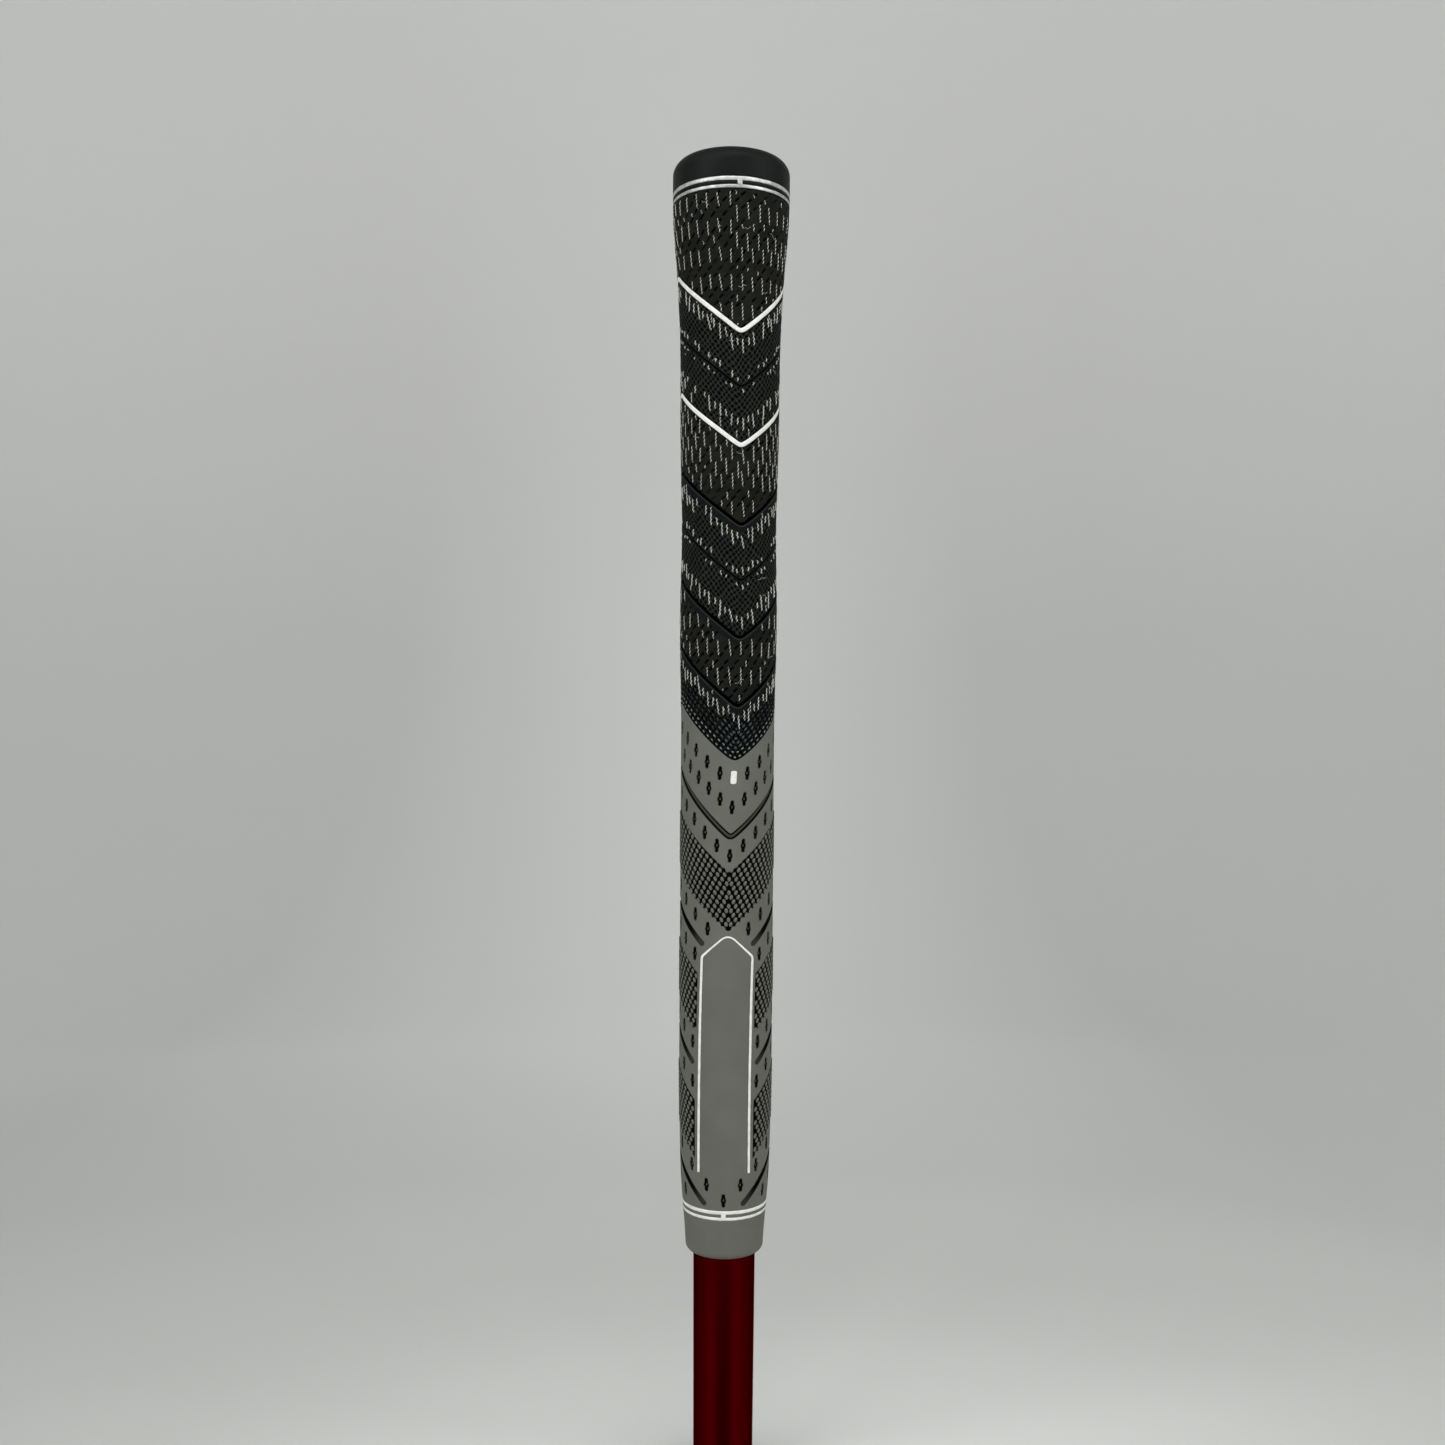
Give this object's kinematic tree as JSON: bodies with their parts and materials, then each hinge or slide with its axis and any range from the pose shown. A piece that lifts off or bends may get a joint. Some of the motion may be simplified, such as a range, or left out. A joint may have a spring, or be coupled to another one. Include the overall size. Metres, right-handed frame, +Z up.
{
  "type": "golf grip",
  "caption": "Corded two-compound golf grip on a short length of red shaft butt, with moulded chevron grooves, painted inlays, a bare front panel and a vented end cap.",
  "frame": {"origin": "centre of the shaft's cut lower end", "axes": "+Z up the shaft to the cap, -Y towards the front panel, +X to the right as seen from the front"},
  "size_m": [0.0288, 0.0288, 0.323],
  "materials": {
    "red_lacquer": "candy red lacquer over carbon fibre",
    "adhesive_tape": "creped double-sided paper tape",
    "black_rubber": "moulded, fine matt",
    "cotton_cord": "woven cotton cord cloth",
    "corded_rubber": "moulded over cotton cord, buffed until the threads show",
    "grey_rubber": "soft moulded, fine matt",
    "white_paint": "white grip enamel filled into grooves",
    "silver_paint": "pale silver grip enamel filled into grooves"
  },
  "bodies": {
    "root": {"shaft_tube": "red_lacquer", "grip_tape": "adhesive_tape", "rubber_core": "black_rubber", "cord_fabric": "cotton_cord", "corded_sleeve": "corded_rubber", "soft_sleeve": "grey_rubber", "end_cap": "black_rubber", "cap_line_upper": "silver_paint", "cap_line_lower": "silver_paint", "cap_line_tick": "silver_paint", "chevron_upper": "white_paint", "chevron_lower": "white_paint", "alignment_mark": "white_paint", "panel_outline": "white_paint", "mouth_line_upper": "white_paint", "mouth_line_lower": "white_paint", "mouth_line_tick": "white_paint"}
  },
  "joints": []
}
